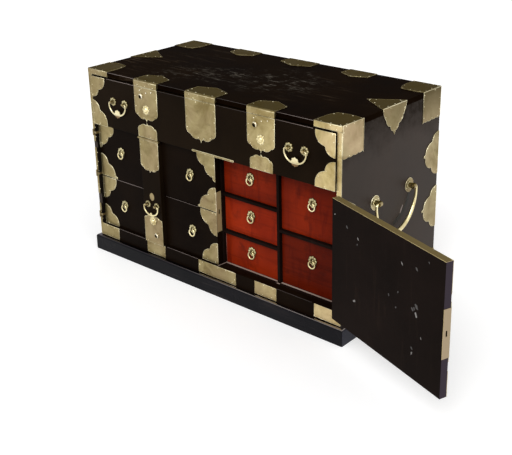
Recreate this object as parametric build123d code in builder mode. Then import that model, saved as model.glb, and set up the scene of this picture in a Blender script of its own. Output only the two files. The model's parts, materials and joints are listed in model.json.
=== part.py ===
"""Two-tier lacquered chest with brass mounts.

Upper tier: one long drawer.  Lower tier: a cupboard behind the left door and five
small drawers behind the right door, which stands open.
Millimetres, +Z up, front facing -Y, origin at the centre of the plinth's underside.
"""
import os
from math import cos, pi, radians, sin

from build123d import *

os.makedirs("parts", exist_ok=True)

# --- case ---------------------------------------------------------------------
case_w = 900.0
case_d = 430.0
case_h = 565.0
board = 14.0
edge_break = 1.2
plinth_h = 45.0
plinth_side_lap = 14.0
plinth_front_lap = 13.0
plinth_back_lap = 6.0
plinth_rail = 70.0
plinth_round = 6.0
back_t = 10.0
back_inset = 2.0
back_rebate = 6.0
floor_t = 14.0
rail_t = 22.0
rail_h = 39.5
housing = 5.0
drawer_h = 143.0
drawer_top_gap = 4.0
shelf_drop = 1.0
shelf_t = 13.0
upright_t = 11.5
divider_t = 8.0
cupboard_shelf_t = 12.0

side_x = case_w / 2
inner_x = side_x - board
front_y = -case_d / 2
back_y = case_d / 2
back_face_y = back_y - back_inset - back_t
top_z = case_h - board
rail_top = plinth_h + rail_h
floor_z = rail_top
drawer_z1 = top_z - drawer_top_gap
tier_z = drawer_z1 - drawer_h
shelf_top = tier_z - shelf_drop
shelf_z = shelf_top - shelf_t

# --- doors and their hinges -----------------------------------------------------
door_recess = 9.0
door_t = 18.0
door_gap = 1.5
door_cap = 0.8
meet_x = 33.0
meet_gap = 3.4
groove_up = 155.0
groove_w = 3.0
groove_deep = 2.0
right_door_open = 160.8
pivot_inset = 2.5
pivot_proud = 3.2
knuckle_r = 2.2
pin_r = 0.9
pin_clear = 0.3
knuckle_h = 6.0
knuckle_space = 0.4
hinge_from_end = 28.0
hinge_over_groove = 6.5
leaf_t = 1.0
lock_slot = (4.0, 14.0, 12.0)

pivot_x = side_x - pivot_inset
pivot_y = front_y - pivot_proud
door_face_d = pivot_proud + door_recess
door_z0 = rail_top + door_gap
door_z1 = tier_z - door_gap - door_cap
groove_z = rail_top + groove_up
hinge_rows = (door_z0 + hinge_from_end, groove_z + hinge_over_groove, door_z1 - hinge_from_end)
hinge_edge = pivot_x - inner_x + door_gap
shelf_y0 = front_y + door_recess + door_t + door_gap

# --- upper drawer ---------------------------------------------------------------
drawer_proud = 5.0
drawer_front_t = 18.0
drawer_side_gap = 1.0
run_gap = 0.4
drawer_box_t = 10.0
drawer_bottom_t = 7.0
drawer_box_drop = 12.0
drawer_back_gap = 20.0

# --- small drawers --------------------------------------------------------------
small_recess = 9.5
small_front_t = 13.0
small_wall = 8.0
small_bottom_t = 5.0
small_back_gap = 50.0
small_gap = 1.0
upright_x = 229.0
partition_lap = 2.5
pull_level = 0.64
low_bay_h, mid_bay_h = 91.5, 100.0
right_low_bay_h = 146.0

partition_x1 = meet_x + partition_lap
partition_x0 = partition_x1 - upright_t
left_rails_z = (floor_z + low_bay_h + divider_t / 2, floor_z + low_bay_h + mid_bay_h + 1.5 * divider_t)
right_rail_z = floor_z + right_low_bay_h + divider_t / 2

# --- sheet brass ----------------------------------------------------------------
sheet = 1.0
edging = 0.6
wrap = 0.8
seam = 1.0
lobe_rise = 0.18
station_x = 207.0
hasp_w, hasp_len, hasp_rise = 90.0, 96.5, 27.0
centre_w, centre_len, centre_rise = 108.0, 113.5, 33.0
seat_w, seat_len, seat_rise = 75.0, 43.5, 20.0
drawer_cloud_top = (59.0, 60.0)
drawer_cloud_low = (60.0, 72.0)
door_cloud_low = (59.0, 61.0)
door_cloud_top = (65.0, 75.0)
door_cloud_mid = (60.0, 68.0)
cloud_tip = (8.0, 7.0)
meeting_strip_w, meeting_strip_h = 150.0, 6.0
meeting_plate_w = 139.0
wrap_below, wrap_above = 58.5, 57.5
corner_w, corner_d = 82.0, 80.0
strap_shoulder, strap_apex = 44.0, 64.0
side_corner_w, side_drop, side_spike = 84.0, 80.0, 4.0
side_hang_w, side_hang_len = 104.0, 76.0
side_apex = 82.0
rear_cloud = (64.0, 59.0)
rear_cloud_drops = (180.0, 334.0)
rail_plate_gap = 3.0
edge_low_run, edge_high_run = 101.0, 206.0
edge_low_break, edge_high_break = 32.0, 19.0

low_run_top = plinth_h + rail_plate_gap + edge_low_run
high_run_bottom = top_z - edge_high_run
edge_runs = ((plinth_h + rail_plate_gap, low_run_top), (low_run_top + edge_low_break,
             high_run_bottom - edge_high_break), (high_run_bottom, top_z))
wrap_z = (groove_z - wrap_below, groove_z + wrap_above)

# --- locks ------------------------------------------------------------------------
keyhole_drop, keyhole_side = 26.0, 19.0
keyhole_r, crescent_r, crescent_proud = 3.2, 7.5, 2.5
knob_drop = 61.0
knob_r, knob_proud, knob_flower_r = 6.0, 6.0, 13.0

# --- pulls ----------------------------------------------------------------------
ring_major = 9.8
ring_r = 2.0
eye_clear = 0.5
eye_out = 5.5
eye_r = 3.9
eye_w = 3.6
rosette_r = 14.0
rosette_t = 1.5
ring_inset = 93.0
ring_over_sill, ring_under_top = 80.0, 71.0
ring_rows = (door_z0 + ring_over_sill, door_z1 - ring_under_top)

bail_r, bail_belly_r = 1.8, 2.8
bail_eye_r, bail_eye_w = 4.2, 6.0
bail_out = 7.5
bail_posts = 48.5
bail_half_w = 34.0
bail_drop = 35.0
bail_corner_turn = 60.0
bail_rosette_r = 12.5
bail_from_station = 113.0
bail_under_top = 62.0
ornament_r, ornament_t, ornament_up = 12.0, 2.4, 4.0
bail_x = station_x + bail_from_station
bail_z = drawer_z1 - bail_under_top

side_bail_r, side_bail_belly_r = 3.2, 6.0
side_bail_eye_r, side_bail_eye_w = 7.0, 10.0
side_bail_out = 14.0
side_bail_posts = 154.0
side_bail_half_w = 90.0
side_bail_drop = 103.0
side_bail_under_top = 232.0
side_bail_plate = (19.0, 20.0)
side_bail_z = case_h - side_bail_under_top

# --- locking bar ------------------------------------------------------------------
bar_w = 73.0
bar_gap = 1.0
bar_proud = 4.5
bar_clear = 0.4
bar_high_len, bar_high_rise = 101.0, 22.0
bar_low_len, bar_low_rise = 86.0, 12.0
bar_drop_up = 144.5
bar_drop_size = (9.0, 12.0)
bar_bail_up = 119.5
bar_bail_posts = 35.5
bar_bail_half_w = 28.0
bar_bail_drop = 29.0
bar_flower_r = 10.5
bar_ornament_r = 4.0
bar_knob_up = 71.0
bar_keyhole_up, bar_keyhole_side = 27.0, 10.0
barrel_r, barrel_lap = 3.5, 4.5


def finish(builder, name):
    """Label a finished piece and write its STEP file."""
    builder.part.label = name
    export_step(builder.part, f"parts/{name}.step")


def shifted(face, x, y):
    """Plane parallel to face with its origin at the face's own point (x, y)."""
    return Plane(origin=face.from_local_coords((x, y, 0)), x_dir=face.x_dir, z_dir=face.z_dir)


def front_plane(y):
    """Upright plane facing the front: local x is X, local y is Z."""
    return Plane(origin=(0, y, 0), x_dir=(1, 0, 0), z_dir=(0, -1, 0))


def side_plane(x):
    """Upright plane facing +X: local x is Y, local y is Z."""
    return Plane(origin=(x, 0, 0), x_dir=(0, 1, 0), z_dir=(1, 0, 0))


def door_plane(s, depth):
    """Plane parallel to a door: local x runs from its pivot to its free edge, local y is up.

    s is -1 for the left door and 1 for the right one; depth is measured inwards
    from the pivot line.  Extruding by -s * t goes towards the outer face.
    """
    turn = radians(right_door_open if s > 0 else 0.0)
    along = (-s * cos(turn), -sin(turn), 0)
    inward = (-s * sin(turn), cos(turn))
    origin = (s * pivot_x + inward[0] * depth, pivot_y + inward[1] * depth, 0)
    return Plane(origin=origin, x_dir=along, z_dir=(along[1], -along[0], 0))


def block(x0, x1, y0, y1, z0, z1, mode=Mode.ADD):
    """Board given by its six faces, added to the part being built."""
    with Locations(((x0 + x1) / 2, (y0 + y1) / 2, (z0 + z1) / 2)):
        Box(x1 - x0, y1 - y0, z1 - z0, mode=mode)


def outline(points, at=(0, 0), flip=(1, 1)):
    """Closed face through (u, v, rise) points; a rise other than 0 bows the next edge outwards."""
    placed = [(at[0] + flip[0] * u, at[1] + flip[1] * v) for u, v, _ in points]
    with BuildLine() as rim:
        for i, (a, (_, _, rise)) in enumerate(zip(placed, points)):
            b = placed[(i + 1) % len(placed)]
            if rise == 0:
                Line(a, b)
            else:
                bow = rise * flip[0] * flip[1]
                mid = ((a[0] + b[0]) / 2 + bow * (b[1] - a[1]), (a[1] + b[1]) / 2 - bow * (b[0] - a[0]))
                ThreePointArc(a, mid, b)
    make_face(rim.edges())


def cloud(size, cusps=((0.51, 0.62), (0.12, 1.0)), tip=(0, 0)):
    """Quarter cloud with its square corner at the origin and a lobe between each pair of cusps.

    Cusps are shares of the plate's own width and height; tip is a small finial that
    reaches past the width along the bottom edge.
    """
    w, h = size
    reach, rise = tip
    finial = [(w + reach, 0, 0), (w + reach, 0.6 * rise, lobe_rise), (w, rise, 0)] if reach else [(w, 0, 0)]
    lobes = [(w * u, h * v, lobe_rise) for u, v in cusps]
    return [(0, 0, 0), *finial, (w, 0.15 * h, lobe_rise), *lobes, (0, h, 0)]


def hasp(w, top, tip, rise):
    """Hanging strap centred on the origin's x, its end cut in two lobes a side and a spike.

    rise is the height of the cut end above the spike's tip.
    """
    half = [(-w / 2, tip + rise, lobe_rise), (-0.36 * w, tip + 0.56 * rise, lobe_rise),
            (-0.08 * w, tip + 0.3 * rise, -lobe_rise)]
    other = [(0.08 * w, tip + 0.3 * rise, lobe_rise), (0.36 * w, tip + 0.56 * rise, lobe_rise),
             (w / 2, tip + rise, 0)]
    return [(-w / 2, top, 0), *half, (0, tip, -lobe_rise), *other, (w / 2, top, 0)]


def leaf(half_w, half_h):
    """Four-pointed plate with bulging sides, centred on the origin."""
    return [(half_w, 0, lobe_rise), (0, half_h, lobe_rise), (-half_w, 0, lobe_rise), (0, -half_h, lobe_rise)]


def pentagon(w, shoulder, apex):
    """Top-surface end of a strap, lying along the edge through the origin."""
    return [(-w / 2, 0, 0), (w / 2, 0, 0), (w / 2, shoulder, 0), (0, apex, 0), (-w / 2, shoulder, 0)]


def rosette(r):
    """Eight-petalled plate at the sketch's origin."""
    Circle(0.75 * r)
    with PolarLocations(0.68 * r, 8):
        Circle(0.32 * r)


def crescent(x, y):
    """Raised crescent beside a keyhole, standing on the sketch plane's own surface."""
    with Locations((x, y)):
        Circle(crescent_r)
    with Locations((x - 0.35 * crescent_r, y - 0.35 * crescent_r)):
        Circle(0.8 * crescent_r, mode=Mode.SUBTRACT)


def eye_plane(face, x, y, out, w):
    """Plane across a pull's eye, at one end of its bore; face is the surface it stands on."""
    start = face.from_local_coords((x - w / 2, y, out))
    return Plane(origin=start, x_dir=face.z_dir, z_dir=face.x_dir)


def eye(out, r, bore):
    """Section of an eye and of the neck that joins it to the surface behind."""
    Circle(r)
    with Locations((-out / 2, 0)):
        Rectangle(out, 1.5 * r)
    Circle(bore, mode=Mode.SUBTRACT)


# === case ========================================================================
with BuildPart() as plinth:
    plinth_w = case_w + 2 * plinth_side_lap
    y0, y1 = front_y - plinth_front_lap, back_y + plinth_back_lap
    block(-plinth_w / 2, plinth_w / 2, y0, y1, 0, plinth_h)
    fillet(plinth.edges().filter_by(Axis.Z), radius=3)
    fillet(plinth.faces().sort_by(Axis.Z)[-1].outer_wire().edges(), radius=plinth_round)
    for s in (-1, 1):
        x_in, x_out = s * plinth_rail / 2, s * (plinth_w / 2 - plinth_rail)
        block(min(x_in, x_out), max(x_in, x_out), y0 + plinth_rail, y1 - plinth_rail, 0, plinth_h,
              mode=Mode.SUBTRACT)
finish(plinth, "plinth")

with BuildPart() as bottom_board:
    block(-inner_x - housing, inner_x + housing, front_y + rail_t, back_face_y, floor_z - floor_t, floor_z)
    block(partition_x0, partition_x1, shelf_y0, back_face_y, floor_z - housing, floor_z,
          mode=Mode.SUBTRACT)
finish(bottom_board, "bottom_board")

with BuildPart() as bottom_rail:
    block(-inner_x, inner_x, front_y, front_y + rail_t, plinth_h, rail_top)
    fillet(bottom_rail.edges().filter_by(Axis.X).group_by(Axis.Z)[-1], radius=edge_break)
finish(bottom_rail, "bottom_rail")

for side, s in (("left", -1), ("right", 1)):
    with BuildPart() as side_board:
        x_in, x_out = s * inner_x, s * side_x
        block(min(x_in, x_out), max(x_in, x_out), front_y, back_y, plinth_h, top_z)
        x_house = s * (inner_x + housing)
        for z0, z1, y0 in ((shelf_z, shelf_top, shelf_y0), (floor_z - floor_t, floor_z, front_y + rail_t)):
            block(min(x_in, x_house), max(x_in, x_house), y0, back_face_y, z0, z1, mode=Mode.SUBTRACT)
        x_rebate = s * (inner_x + back_rebate)
        block(min(x_in, x_rebate), max(x_in, x_rebate), back_face_y, back_face_y + back_t,
              plinth_h, top_z, mode=Mode.SUBTRACT)
    finish(side_board, f"side_board_{side}")

with BuildPart() as top_board:
    block(-side_x, side_x, front_y, back_y, top_z, case_h)
    fillet(top_board.faces().sort_by(Axis.Z)[-1].edges(), radius=edge_break)
finish(top_board, "top_board")

with BuildPart() as back_board:
    block(-inner_x - back_rebate, inner_x + back_rebate, back_face_y, back_face_y + back_t, plinth_h, top_z)
finish(back_board, "back_board")

with BuildPart() as tier_shelf:
    block(-inner_x - housing, inner_x + housing, shelf_y0, back_face_y, shelf_z, shelf_top)
    block(partition_x0, partition_x1, shelf_y0, back_face_y, shelf_z, shelf_z + housing,
          mode=Mode.SUBTRACT)
finish(tier_shelf, "tier_shelf")

with BuildPart() as centre_partition:
    block(partition_x0, partition_x1, shelf_y0, back_face_y, floor_z - housing, shelf_z + housing)
finish(centre_partition, "centre_partition")

with BuildPart() as drawer_upright:
    block(upright_x - divider_t / 2, upright_x + divider_t / 2, shelf_y0, back_face_y, floor_z, shelf_z)
finish(drawer_upright, "drawer_upright")

with BuildPart() as drawer_dividers:
    for z in left_rails_z:
        block(partition_x1, upright_x - divider_t / 2, shelf_y0, back_face_y,
              z - divider_t / 2, z + divider_t / 2)
    block(upright_x + divider_t / 2, inner_x, shelf_y0, back_face_y,
          right_rail_z - divider_t / 2, right_rail_z + divider_t / 2)
finish(drawer_dividers, "drawer_dividers")

with BuildPart() as cupboard_shelf:
    block(-inner_x, partition_x0, shelf_y0, back_face_y,
          groove_z - cupboard_shelf_t / 2, groove_z + cupboard_shelf_t / 2)
finish(cupboard_shelf, "cupboard_shelf")

# === brass mounts of the case ====================================================
with BuildPart() as top_mounts:
    with BuildSketch(Plane.XY.offset(case_h)):
        for fx in (-1, 1):
            for fy in (-1, 1):
                corner = [(0, 0, 0), (corner_w, 0, 0), (corner_w, 0.5 * corner_d, 0.06),
                          (0.86 * corner_w, corner_d, 0.06), (0, corner_d, 0)]
                outline(corner, at=(-fx * side_x, -fy * back_y), flip=(fx, fy))
        for x, w in ((-station_x, hasp_w), (0, centre_w), (station_x, hasp_w)):
            outline(pentagon(w, strap_shoulder, strap_apex), at=(x, front_y))
            outline(pentagon(w, strap_shoulder, strap_apex), at=(x, back_y), flip=(1, -1))
        for fx in (-1, 1):
            end = [(0, -side_hang_w / 2, 0), (side_apex, 0, 0), (0, side_hang_w / 2, 0)]
            outline(end, at=(-fx * side_x, 0), flip=(fx, 1))
    extrude(amount=sheet)
    with BuildSketch(front_plane(front_y)):
        for fx in (-1, 1):
            with Locations((fx * (side_x - corner_w / 2), (case_h + top_z + sheet) / 2)):
                Rectangle(corner_w, case_h + sheet - top_z)
    extrude(amount=sheet)
    with BuildSketch(front_plane(front_y)):
        for x, w in ((-station_x, hasp_w), (0, centre_w), (station_x, hasp_w)):
            with Locations((x, (case_h + sheet + top_z) / 2)):
                Rectangle(w, case_h + sheet - top_z)
    extrude(amount=drawer_proud + sheet)
    with BuildSketch(front_plane(front_y - drawer_proud)):
        for x, w in ((-station_x, hasp_w), (0, centre_w), (station_x, hasp_w)):
            with Locations((x, (top_z + drawer_z1 + seam) / 2)):
                Rectangle(w, top_z - drawer_z1 - seam)
    extrude(amount=sheet)
    fillet(top_mounts.faces().filter_by(Axis.Y).sort_by(Axis.Y)[:3].edges().filter_by(Axis.X)
           .group_by(Axis.Z)[-1], radius=2.5)
finish(top_mounts, "top_mounts")

for side, s in (("left", -1), ("right", 1)):
    with BuildPart() as side_mounts:
        with BuildSketch(side_plane(side_x)):
            w, h = side_corner_w, side_drop
            scallops = [(w * (3 - i) / 4, h, 0.12) for i in range(3)]
            drop = [(0, 0, 0), (w, 0, 0), (w, h + side_spike, -lobe_rise), (0.93 * w, h, 0.12),
                    *scallops, (0, h, 0)]
            outline(drop, at=(front_y, case_h + sheet), flip=(1, -1))
            outline(drop, at=(back_y, case_h + sheet), flip=(-1, -1))
            top, w, h = case_h + sheet, side_hang_w, side_hang_len
            r = lobe_rise
            hang = [(-0.5, 0, r / 2), (-0.36, 0.43, r), (-0.18, 0.67, r), (-0.05, 0.87, 0), (0, 1, 0),
                    (0.05, 0.87, r), (0.18, 0.67, r), (0.36, 0.43, r / 2), (0.5, 0, 0)]
            outline([(w * u, top - h * v, bow) for u, v, bow in hang])
            for drop_to in rear_cloud_drops:
                outline(cloud(rear_cloud, tip=cloud_tip), at=(back_y, case_h - drop_to), flip=(-1, 1))
                outline(cloud(rear_cloud), at=(back_y, case_h - drop_to), flip=(-1, -1))
            outline(cloud(rear_cloud), at=(back_y, plinth_h), flip=(-1, 1))
            for fy in (-1, 1):
                outline(leaf(*side_bail_plate), at=(fy * side_bail_posts / 2, side_bail_z))
        extrude(amount=sheet)
        for fy in (-1, 1):
            with BuildSketch(eye_plane(side_plane(side_x), fy * side_bail_posts / 2, side_bail_z,
                                       side_bail_out, side_bail_eye_w)):
                eye(side_bail_out, side_bail_eye_r, side_bail_r + eye_clear)
            extrude(amount=side_bail_eye_w)
        if s < 0:
            mirror(about=Plane.YZ, mode=Mode.REPLACE)
    finish(side_mounts, f"side_mounts_{side}")

with BuildPart() as front_mounts:
    with BuildSketch(front_plane(front_y)):
        plate_h = rail_h - rail_plate_gap
        rail_z = rail_top - plate_h / 2
        with Locations((-side_x + corner_w / 2, rail_z), (side_x - corner_w / 2, rail_z)):
            Rectangle(corner_w, plate_h)
        with Locations((-station_x, rail_z), (station_x, rail_z)):
            Rectangle(seat_w, plate_h)
        with Locations((meet_x, rail_z)):
            Rectangle(meeting_plate_w, plate_h)
        for fx in (-1, 1):
            for z0, z1 in edge_runs:
                with Locations((fx * (side_x - board / 2), (z0 + z1) / 2)):
                    Rectangle(board, z1 - z0)
    extrude(amount=edging)
finish(front_mounts, "front_mounts")

# === door hinges, case side =======================================================
stack = knuckle_h + 2 * knuckle_space
with BuildPart() as hinge_knuckles:
    for s in (-1, 1):
        for z in hinge_rows:
            for z0 in (z - stack / 2 - knuckle_h, z + stack / 2):
                with BuildSketch(Plane.XY.offset(z0)):
                    with Locations((s * pivot_x, pivot_y)):
                        Circle(knuckle_r)
                    with Locations((s * pivot_x, pivot_y + (pivot_proud - edging) / 2)):
                        Rectangle(3, pivot_proud - edging)
                extrude(amount=knuckle_h)
            with BuildSketch(Plane.XY.offset(z - stack / 2)):
                with Locations((s * pivot_x, pivot_y)):
                    Circle(pin_r)
            extrude(amount=stack)
finish(hinge_knuckles, "hinge_knuckles")

# === doors ========================================================================
for side, s in (("left", -1), ("right", 1)):
    free_edge = pivot_x - s * meet_x - meet_gap / 2
    door_mid = (hinge_edge + free_edge) / 2
    mid_z = (door_z0 + door_z1) / 2
    door_w = free_edge - hinge_edge

    with BuildPart() as door:
        with BuildSketch(door_plane(s, door_face_d)):
            with Locations((door_mid, mid_z)):
                Rectangle(door_w, door_z1 - door_z0)
        extrude(amount=s * door_t)
        with BuildSketch(door_plane(s, door_face_d)):
            with Locations((door_mid, groove_z)):
                Rectangle(door_w, groove_w)
        extrude(amount=s * groove_deep, mode=Mode.SUBTRACT)
        slot_t, slot_h, slot_deep = lock_slot
        with BuildSketch(door_plane(s, door_face_d + door_t / 2)):
            with Locations((free_edge - slot_deep / 2, groove_z)):
                Rectangle(slot_deep, slot_h)
        extrude(amount=slot_t / 2, both=True, mode=Mode.SUBTRACT)
    finish(door, f"{side}_door")

    with BuildPart() as door_mounts:
        with BuildSketch(door_plane(s, door_face_d)):
            for edge, fx in ((hinge_edge, 1), (free_edge, -1)):
                outline(cloud(door_cloud_low), at=(edge, door_z0), flip=(fx, 1))
                outline(cloud(door_cloud_top, ((0.6, 0.49), (0.14, 0.86), (0.05, 1.0))), at=(edge, door_z1),
                        flip=(fx, -1))
                upper, lower = groove_z + groove_w / 2, groove_z - groove_w / 2
                outline(cloud(door_cloud_mid, tip=cloud_tip), at=(edge, upper), flip=(fx, 1))
                outline(cloud(door_cloud_mid), at=(edge, lower), flip=(fx, -1))
        extrude(amount=-s * sheet)
        with BuildSketch(door_plane(s, door_face_d - sheet)):
            with Locations((free_edge + wrap / 2, sum(wrap_z) / 2)):
                Rectangle(wrap, wrap_z[1] - wrap_z[0])
        extrude(amount=s * (door_t + sheet))
        with BuildSketch(door_plane(s, door_face_d + door_t / 2)):
            with Locations((free_edge, groove_z)):
                Rectangle(4 * wrap, slot_h)
        extrude(amount=slot_t / 2, both=True, mode=Mode.SUBTRACT)
        with BuildSketch(door_plane(s, door_face_d)):
            with Locations((door_mid, door_z1 + door_cap / 2)):
                Rectangle(door_w, door_cap)
        extrude(amount=s * door_t)
    finish(door_mounts, f"{side}_door_mounts")

    with BuildPart() as hinge_leaves:
        for z in hinge_rows:
            with BuildSketch(door_plane(s, 0)):
                with Locations((hinge_edge / 2, z)):
                    Rectangle(hinge_edge, knuckle_h)
            extrude(amount=leaf_t / 2, both=True)
            with BuildSketch(door_plane(s, -leaf_t / 2)):
                with Locations((hinge_edge - leaf_t / 2, z)):
                    Rectangle(leaf_t, knuckle_h)
            extrude(amount=s * (door_face_d + door_t / 2))
            knuckle_at = door_plane(s, 0).from_local_coords((0, z - knuckle_h / 2, 0))
            with BuildSketch(Plane(origin=knuckle_at, z_dir=(0, 0, 1))):
                Circle(knuckle_r)
            extrude(amount=knuckle_h)
            with BuildSketch(Plane(origin=knuckle_at, z_dir=(0, 0, 1))):
                Circle(pin_r + pin_clear)
            extrude(amount=knuckle_h, mode=Mode.SUBTRACT)
    finish(hinge_leaves, f"{side}_door_hinges")

    with BuildPart() as ring_posts:
        face = door_plane(s, door_face_d)
        spots = [(a, z) for a in (hinge_edge + ring_inset, free_edge - ring_inset) for z in ring_rows]
        pulls = [Plane(origin=face.from_local_coords((a, z, 0)), x_dir=face.x_dir * -s, z_dir=face.z_dir * -s)
                 for a, z in spots]
        for pull in pulls:
            with BuildSketch(pull):
                rosette(rosette_r)
            extrude(amount=rosette_t)
            with BuildSketch(eye_plane(pull, 0, 0, eye_out, eye_w)):
                eye(eye_out, eye_r, ring_r + eye_clear)
            extrude(amount=eye_w)
    finish(ring_posts, f"{side}_door_ring_posts")

    for i, pull in enumerate(pulls, start=1):
        with BuildPart(pull) as ring:
            with Locations((0, -ring_major, eye_out)):
                Torus(ring_major, ring_r)
        finish(ring, f"{side}_door_ring_{i}")

# === locking bar on the left door ====================================================
bar_z0, bar_z1 = rail_top + bar_gap, tier_z - bar_gap
bar_y = front_y - bar_proud
with BuildPart() as locking_bar:
    block(-station_x - bar_w / 2, -station_x + bar_w / 2, bar_y, front_y + door_recess - bar_clear,
          bar_z0, bar_z1)
    fillet(locking_bar.faces().sort_by(Axis.Y)[0].edges().filter_by(Axis.Z), radius=edge_break)
finish(locking_bar, "locking_bar")

bar_bail_z = rail_top + bar_bail_up
bar_x0, bar_x1 = -station_x - bar_w / 2, -station_x + bar_w / 2
with BuildPart() as locking_bar_mounts:
    bar_face = front_plane(bar_y)
    keyhole = (-station_x + bar_keyhole_side, rail_top + bar_keyhole_up)
    knob = (-station_x, rail_top + bar_knob_up)
    with BuildSketch(bar_face):
        outline(hasp(bar_w, bar_z1, bar_z1 - bar_high_len, bar_high_rise), at=(-station_x, 0))
        outline(hasp(bar_w, 0, -bar_low_len, bar_low_rise), at=(-station_x, bar_z0), flip=(1, -1))
        outline(leaf(*bar_drop_size), at=(-station_x, rail_top + bar_drop_up))
        with Locations(keyhole):
            Circle(keyhole_r, mode=Mode.SUBTRACT)
    extrude(amount=sheet)
    with BuildSketch(bar_face):
        crescent(*keyhole)
    extrude(amount=sheet + crescent_proud)
    for flower_r, out in ((knob_flower_r, sheet + rosette_t), (knob_r, knob_proud)):
        with BuildSketch(shifted(bar_face, *knob)):
            rosette(flower_r)
        extrude(amount=out)
    with BuildSketch(Plane(origin=(bar_x0 - barrel_lap, bar_y, bar_z1 - barrel_r), z_dir=(1, 0, 0))):
        Circle(barrel_r)
    extrude(amount=bar_w + 2 * barrel_lap)
    for x in (-station_x - bar_bail_posts / 2, -station_x + bar_bail_posts / 2):
        with BuildSketch(shifted(bar_face, x, bar_bail_z)):
            rosette(bar_flower_r)
        extrude(amount=rosette_t)
        with BuildSketch(eye_plane(bar_face, x, bar_bail_z, bail_out, bail_eye_w)):
            eye(bail_out, bail_eye_r, bail_r + eye_clear)
        extrude(amount=bail_eye_w)
    block(bar_x0, bar_x1, bar_y, bar_y + door_recess, bar_z0, bar_z1, mode=Mode.SUBTRACT)
finish(locking_bar_mounts, "locking_bar_mounts")

# === upper drawer =====================================================================
drawer_face_y = front_y - drawer_proud
drawer_half = inner_x - drawer_side_gap
box_z0 = shelf_top + run_gap
with BuildPart() as upper_drawer_front:
    block(-drawer_half, drawer_half, drawer_face_y, drawer_face_y + drawer_front_t, tier_z, drawer_z1)
    fillet(upper_drawer_front.faces().sort_by(Axis.Y)[0].edges(), radius=edge_break)
finish(upper_drawer_front, "upper_drawer_front")

with BuildPart() as upper_drawer_box:
    box_y0 = drawer_face_y + drawer_front_t
    box_y1 = back_face_y - drawer_back_gap
    box_z1 = drawer_z1 - drawer_box_drop
    box_half = inner_x - 2 * drawer_side_gap
    block(-box_half, box_half, box_y0, box_y1, box_z0, box_z1)
    block(-box_half + drawer_box_t, box_half - drawer_box_t, box_y0, box_y1 - drawer_box_t,
          box_z0 + drawer_bottom_t, box_z1, mode=Mode.SUBTRACT)
finish(upper_drawer_box, "upper_drawer_box")

with BuildPart() as upper_drawer_mounts:
    face = front_plane(drawer_face_y)
    with BuildSketch(face):
        for fx in (-1, 1):
            outline(cloud(drawer_cloud_low), at=(-fx * drawer_half, tier_z), flip=(fx, 1))
            outline(cloud(drawer_cloud_top), at=(-fx * drawer_half, drawer_z1), flip=(fx, -1))
            outline(hasp(seat_w, 0, -seat_len, seat_rise), at=(fx * station_x, tier_z), flip=(1, -1))
        outline(hasp(centre_w, drawer_z1, drawer_z1 - centre_len, centre_rise))
        with Locations((meet_x + (meeting_strip_w - meeting_plate_w) / 2, tier_z + meeting_strip_h / 2)):
            SlotOverall(meeting_strip_w, meeting_strip_h)
    extrude(amount=sheet)
    for post_x in (fx * bail_x + x * bail_posts / 2 for fx in (-1, 1) for x in (-1, 1)):
        with BuildSketch(shifted(face, post_x, bail_z)):
            rosette(bail_rosette_r)
        extrude(amount=rosette_t)
        with BuildSketch(eye_plane(face, post_x, bail_z, bail_out, bail_eye_w)):
            eye(bail_out, bail_eye_r, bail_r + eye_clear)
        extrude(amount=bail_eye_w)
finish(upper_drawer_mounts, "upper_drawer_mounts")

with BuildPart() as upper_drawer_locks:
    stations = (-station_x, station_x)
    with BuildSketch(face):
        for x in stations:
            outline(hasp(hasp_w, drawer_z1, drawer_z1 - hasp_len, hasp_rise), at=(x, 0))
            with Locations((x - keyhole_side, drawer_z1 - keyhole_drop)):
                Circle(keyhole_r, mode=Mode.SUBTRACT)
    extrude(amount=sheet)
    with BuildSketch(face):
        for x in stations:
            crescent(x - keyhole_side, drawer_z1 - keyhole_drop)
    extrude(amount=sheet + crescent_proud)
    for flower_r, out in ((knob_flower_r, sheet + rosette_t), (knob_r, knob_proud)):
        for x in stations:
            with BuildSketch(shifted(face, x, drawer_z1 - knob_drop)):
                rosette(flower_r)
            extrude(amount=out)
finish(upper_drawer_locks, "upper_drawer_locks")

# === bails ===============================================================================
front_shape = (bail_posts, bail_half_w, bail_drop)
bar_shape = (bar_bail_posts, bar_bail_half_w, bar_bail_drop)
side_shape = (side_bail_posts, side_bail_half_w, side_bail_drop)
thin, thick = (bail_r, bail_belly_r, bail_eye_w), (side_bail_r, side_bail_belly_r, side_bail_eye_w)
x_out = side_x + side_bail_out
drawer_bail_y, bar_bail_y = drawer_face_y - bail_out, bar_y - bail_out
bails = (
    ("upper_drawer_bail_left", (-bail_x, drawer_bail_y, bail_z), (1, 0, 0), front_shape, thin, ornament_r),
    ("upper_drawer_bail_right", (bail_x, drawer_bail_y, bail_z), (1, 0, 0), front_shape, thin, ornament_r),
    ("locking_bar_bail", (-station_x, bar_bail_y, bar_bail_z), (1, 0, 0), bar_shape, thin, bar_ornament_r),
    ("side_bail_left", (-x_out, 0, side_bail_z), (0, 1, 0), side_shape, thick, 0),
    ("side_bail_right", (x_out, 0, side_bail_z), (0, 1, 0), side_shape, thick, 0),
)
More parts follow.
